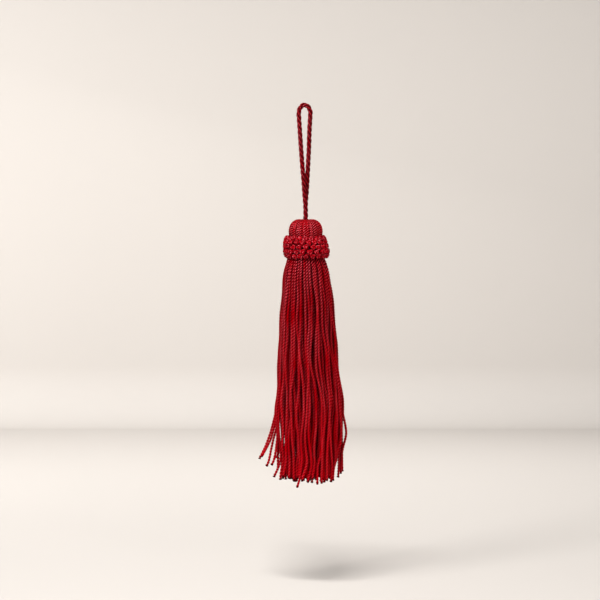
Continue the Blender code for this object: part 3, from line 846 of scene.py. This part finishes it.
def build_collar_band():
    """The cord wound round the neck that the knots are worked on."""
    share = np.linspace(0, 1, BAND_TURNS * BAND_STEPS_PER_TURN)
    angle = 2 * math.pi * BAND_TURNS * share
    height = BAND_TOP - BAND_FALL * share
    radius = smooth_value(COLLAR_ROWS_OUT, "radius", height) - BAND_SUNK
    line = np.stack([HEAD_AXIS_X + radius * np.cos(angle), radius * np.sin(angle), height], axis=1)
    band = yarn_mesh("collar_band", [
        Yarns(line[None], BAND_TWIST, np.array([BAND_SHADE_TONE]), (0, 0, 1), lit=BAND_LIT)])
    settle(band, "knotted_collar", make_silk(KNOT_SILK))


# --- Setting ------------------------------------------------------------------------------------
FLOOR_HEIGHT = -185.0
BACKDROP_COLOUR = "#bcb6b0"     # warm pale grey
BACKDROP_ROUGHNESS = 0.9
ROOM_LIGHT = 0.07               # strength of the even white light from all round
WALL_DISTANCE = 520.0           # the wall stands this far behind the tassel
SWEEP_RADIUS = 35.0             # and the floor curves up into it
SWEEP_STEPS = 16
SWEEP_REACH = 1500.0            # floor and wall reach this far to the sides, forwards and up


def build_backdrop():
    """A pale floor that curves up into a wall behind."""
    profile = [(-SWEEP_REACH, FLOOR_HEIGHT), (WALL_DISTANCE - SWEEP_RADIUS, FLOOR_HEIGHT)]
    for i in range(1, SWEEP_STEPS + 1):
        angle = math.pi / 2 * i / SWEEP_STEPS
        profile.append((WALL_DISTANCE - SWEEP_RADIUS * (1 - math.sin(angle)),
                        FLOOR_HEIGHT + SWEEP_RADIUS * (1 - math.cos(angle))))
    profile.append((WALL_DISTANCE, SWEEP_REACH))
    verts = []
    for x in (-SWEEP_REACH, SWEEP_REACH):
        verts += [(x * MM, y * MM, z * MM) for y, z in profile]
    count = len(profile)
    faces = [(count + i, count + i + 1, i + 1, i) for i in range(count - 1)]
    mesh = bpy.data.meshes.new("backdrop")
    mesh.from_pydata(verts, [], faces)
    mesh.shade_smooth()
    mesh.materials.append(make_plain(
        "matt_painted_sweep", BACKDROP_COLOUR, BACKDROP_ROUGHNESS))
    backdrop = bpy.data.objects.new("backdrop", mesh)
    bpy.context.scene.collection.objects.link(backdrop)
    backdrop.visible_glossy = False


# Panels of light: where they stand and aim, their size, their power in watts and whether the silk
# mirrors them. Only the strip at the upper left does, so that the lustre runs one way. The last
# three and the one behind keep the floor and wall pale and even.
LightRow = namedtuple("LightRow", "name place aim width height power glossy")
LIGHTS = (
    LightRow("key_strip", (-430, -450, 260), (0, 0, -85), 200, 600, 4.2, True),
    LightRow("top_softbox", (-90, -330, 470), (0, 0, -95), 260, 70, 5.5, False),
    LightRow("fill_softbox", (300, -600, 20), (0, 0, -95), 370, 370, 2.8, False),
    LightRow("back_softbox", (60, 440, 120), (0, 0, -120), 400, 120, 0.80, False),
    LightRow("wall_wash_left", (-480, 330, 260), (-330, 520, 20), 160, 160, 0.64, False),
    LightRow("far_floor_wash", (0, 300, 110), (0, 310, -185), 560, 120, 0.36, False),
    LightRow("side_floor_wash", (-420, 250, -20), (-40, 450, -185), 200, 100, 0.75, False),
)


def place_lights():
    for row in LIGHTS:
        lamp = bpy.data.lights.new(row.name, "AREA")
        lamp.shape = "RECTANGLE"
        lamp.size = row.width * MM
        lamp.size_y = row.height * MM
        lamp.energy = row.power
        light = bpy.data.objects.new(row.name, lamp)
        light.location = Vector(row.place) * MM
        light.visible_glossy = row.glossy
        facing = Vector(row.aim) - Vector(row.place)
        light.rotation_euler = facing.to_track_quat("-Z", "Y").to_euler()
        bpy.context.scene.collection.objects.link(light)
    world = bpy.data.worlds.new("studio")
    world.use_nodes = True
    room = world.node_tree.nodes["Background"]
    room.inputs["Color"].default_value = linear_colour("#ffffff")
    room.inputs["Strength"].default_value = ROOM_LIGHT
    bpy.context.scene.world = world
    world.cycles_visibility.glossy = False


place_camera()
build_loop()
build_skirt()
build_head()
build_collar_band()
build_knots()
build_backdrop()
place_lights()
bpy.context.scene.view_settings.view_transform = "Standard"
